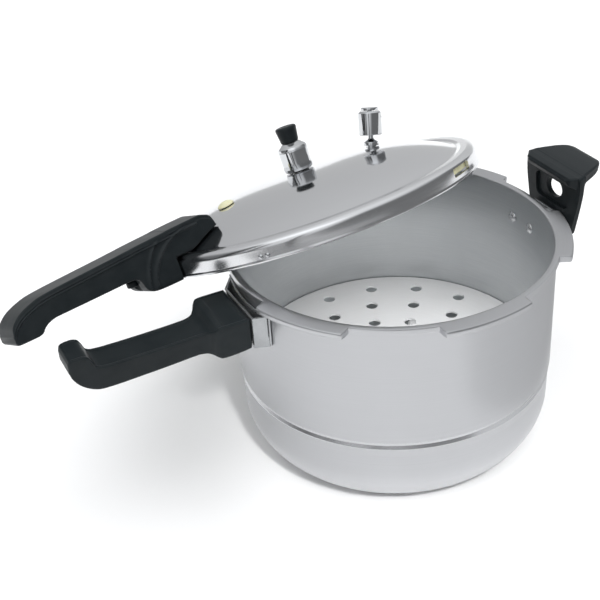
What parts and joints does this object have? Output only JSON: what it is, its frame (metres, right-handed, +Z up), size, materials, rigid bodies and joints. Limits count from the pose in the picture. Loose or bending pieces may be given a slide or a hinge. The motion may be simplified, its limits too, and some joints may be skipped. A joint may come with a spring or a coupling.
{
  "type": "stovetop pressure cooker",
  "caption": "Straight-walled stovetop pressure cooker with a bayonet lid, seal ring, pressure weight, safety valve, perforated plate, long handle and helper handle.",
  "frame": {"origin": "centre of the underside of the pot's base", "axes": "+Z up along the pot's axis, -X along the long pot handle, +X towards the helper handle"},
  "size_m": [0.4724, 0.3506, 0.2327],
  "materials": {
    "pot_aluminium": "satin, spun",
    "plate_aluminium": "light satin",
    "lid_polished": "polished",
    "bracket_steel": "bright, lightly brushed",
    "fastener_steel": "plain",
    "chrome": "mirror",
    "bakelite": "moulded, semi-matt",
    "silicone": "matt"
  },
  "bodies": {
    "pot": {"pot_body": "pot_aluminium", "pot_bracket": "bracket_steel", "pot_bracket_rivet_1": "fastener_steel", "pot_bracket_rivet_2": "fastener_steel", "pot_bracket_bolt": "fastener_steel", "pot_handle": "bakelite", "helper_bracket": "bracket_steel", "helper_bracket_rivet_1": "fastener_steel", "helper_bracket_rivet_2": "fastener_steel", "helper_bracket_bolt": "fastener_steel", "helper_handle": "bakelite"},
    "plate": {"steamer_plate": "plate_aluminium", "plate_leg_1": "plate_aluminium", "plate_leg_2": "plate_aluminium", "plate_leg_3": "plate_aluminium"},
    "seal": {"seal_ring": "silicone"},
    "lid": {"lid_shell": "lid_polished", "lid_handle": "bakelite", "lid_handle_screw_1": "fastener_steel", "lid_handle_screw_2": "fastener_steel", "handle_stop": "bakelite", "vent_pipe": "fastener_steel", "vent_nut": "fastener_steel", "valve_seat": "fastener_steel", "valve_nut": "fastener_steel", "relief_plug": "silicone"},
    "weight": {"weight_body": "chrome", "weight_knob": "bakelite"},
    "valve": {"valve_cap": "chrome", "valve_top": "chrome"}
  },
  "joints": [
    {"name": "plate_lift", "type": "slide", "parent": "pot", "child": "plate", "axis": [0, 0, 1], "range_m": [0, 0.07]},
    {"name": "lid_lift", "type": "slide", "parent": "pot", "child": "seal", "axis": [0, 0, 1], "range_m": [0, 0.15]},
    {"name": "lid_turn", "type": "hinge", "parent": "seal", "child": "lid", "pos_m": [-0.0229, 0.0853, 0.1617], "axis": [-0.1079, 0.3789, 0.9191], "range_deg": [0, 30]},
    {"name": "weight_lift", "type": "slide", "parent": "lid", "child": "weight", "axis": [-0.1079, 0.3789, 0.9191], "range_m": [0, 0.025]},
    {"name": "valve_lift", "type": "slide", "parent": "lid", "child": "valve", "axis": [0.1555, 0.3387, 0.928], "range_m": [0, 0.004]}
  ]
}
